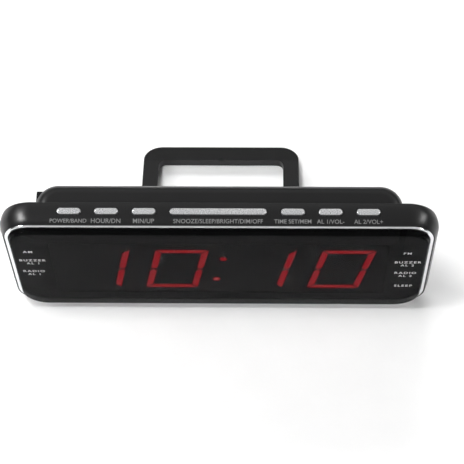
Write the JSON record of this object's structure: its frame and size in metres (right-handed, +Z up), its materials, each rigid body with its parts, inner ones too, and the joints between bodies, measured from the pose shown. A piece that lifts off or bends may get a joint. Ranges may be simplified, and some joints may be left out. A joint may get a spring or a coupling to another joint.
{
  "type": "clock radio",
  "caption": "Mains LED clock radio: wide smoked lens in a chrome ring, top keys, tapered rear pod with speaker, and a folding U-shaped prop stand.",
  "frame": {"origin": "centre of the footprint at table height, in the middle of the object's width and of its full depth with the stand open", "axes": "+X to the right seen from the front, +Y from the display towards the stand, +Z up"},
  "size_m": [0.2302, 0.1046, 0.0918],
  "materials": {
    "case_black": "satin",
    "bright_chrome": "polished",
    "smoked_lens": "smoked gloss",
    "segment_red": "satin",
    "segment_dark": "satin",
    "reflector_black": "matte",
    "led_epoxy": "clear epoxy",
    "board_green": "solder mask",
    "connector_white": "satin",
    "ribbon_grey": "satin",
    "chip_black": "matte",
    "capacitor_sleeve": "satin",
    "bright_steel": "zinc plated",
    "rubber_black": "matte",
    "gland_black": "satin",
    "cell_jacket": "gloss jacket",
    "cone_paper": "pressed paper",
    "magnet_black": "painted ferrite",
    "lead_red": "pvc",
    "lead_black": "pvc",
    "core_steel": "varnished laminations",
    "coil_tape": "polyester tape",
    "ferrite": "sintered",
    "copper_wire": "enamelled copper",
    "screw_black": "black zinc",
    "key_silver": "satin paint",
    "stem_white": "satin"
  },
  "bodies": {
    "case": {"antenna_coil": "copper_wire", "battery_cells": "cell_jacket", "battery_contacts": "bright_steel", "board_header": "connector_white", "board_screws": "bright_steel", "case_feet": "rubber_black", "case_screws": "screw_black", "chrome_trim": "bright_chrome", "clock_crystal": "bright_steel", "cord_gland": "gland_black", "display_colon": "segment_red", "display_lens": "smoked_lens", "display_pcb": "board_green", "display_reflector": "reflector_black", "display_segments_lit": "segment_red", "display_segments_unlit": "segment_dark", "ferrite_rod": "ferrite", "filter_capacitors": "capacitor_sleeve", "front_bezel": "case_black", "indicator_windows": "segment_dark", "inlet_lead": "lead_black", "key_pcb": "board_green", "key_ribbon": "ribbon_grey", "key_switches": "chip_black", "led_chips": "led_epoxy", "main_pcb": "board_green", "processor_chip": "chip_black", "radio_chip": "chip_black", "rear_cover": "case_black", "rod_clips": "connector_white", "speaker_cone": "cone_paper", "speaker_frame": "bright_steel", "speaker_leads": "lead_red", "speaker_magnet": "magnet_black", "speaker_screws": "bright_steel", "stand_hinge_pins": "bright_steel", "supply_lead": "lead_red", "transformer_bracket": "bright_steel", "transformer_coil": "coil_tape", "transformer_core": "core_steel"},
    "power_key": {"power_button": "key_silver", "power_switch_stem": "stem_white"},
    "hour_key": {"hour_button": "key_silver", "hour_switch_stem": "stem_white"},
    "minute_key": {"minute_button": "key_silver", "minute_switch_stem": "stem_white"},
    "snooze_key": {"snooze_button": "key_silver", "snooze_switch_stem": "stem_white"},
    "time_set_key": {"time_set_button": "key_silver", "time_set_switch_stem": "stem_white"},
    "alarm_1_key": {"alarm_1_button": "key_silver", "alarm_1_switch_stem": "stem_white"},
    "alarm_2_key": {"alarm_2_button": "key_silver", "alarm_2_switch_stem": "stem_white"},
    "stand": {"stand": "case_black", "stand_foot_pads": "rubber_black"},
    "battery_door": {"battery_door": "case_black"}
  },
  "joints": [
    {"name": "power_key_press", "type": "slide", "parent": "case", "child": "power_key", "axis": [0, 0, -1], "range_m": [0, 0.0006], "stiffness_N_per_m": 2500, "springref_m": -0.0002},
    {"name": "hour_key_press", "type": "slide", "parent": "case", "child": "hour_key", "axis": [0, 0, -1], "range_m": [0, 0.0006], "stiffness_N_per_m": 2500, "springref_m": -0.0002},
    {"name": "minute_key_press", "type": "slide", "parent": "case", "child": "minute_key", "axis": [0, 0, -1], "range_m": [0, 0.0006], "stiffness_N_per_m": 2500, "springref_m": -0.0002},
    {"name": "snooze_key_press", "type": "slide", "parent": "case", "child": "snooze_key", "axis": [0, 0, -1], "range_m": [0, 0.0006], "stiffness_N_per_m": 2500, "springref_m": -0.0002},
    {"name": "time_set_key_press", "type": "slide", "parent": "case", "child": "time_set_key", "axis": [0, 0, -1], "range_m": [0, 0.0006], "stiffness_N_per_m": 2500, "springref_m": -0.0002},
    {"name": "alarm_1_key_press", "type": "slide", "parent": "case", "child": "alarm_1_key", "axis": [0, 0, -1], "range_m": [0, 0.0006], "stiffness_N_per_m": 2500, "springref_m": -0.0002},
    {"name": "alarm_2_key_press", "type": "slide", "parent": "case", "child": "alarm_2_key", "axis": [0, 0, -1], "range_m": [0, 0.0006], "stiffness_N_per_m": 2500, "springref_m": -0.0002},
    {"name": "stand_hinge", "type": "hinge", "parent": "case", "child": "stand", "pos_m": [0, -0.0018, 0.015], "axis": [1, 0, 0], "range_deg": [0, 115]},
    {"name": "battery_door_slide", "type": "slide", "parent": "case", "child": "battery_door", "axis": [0, 1, 0], "range_m": [0, 0.027]}
  ]
}
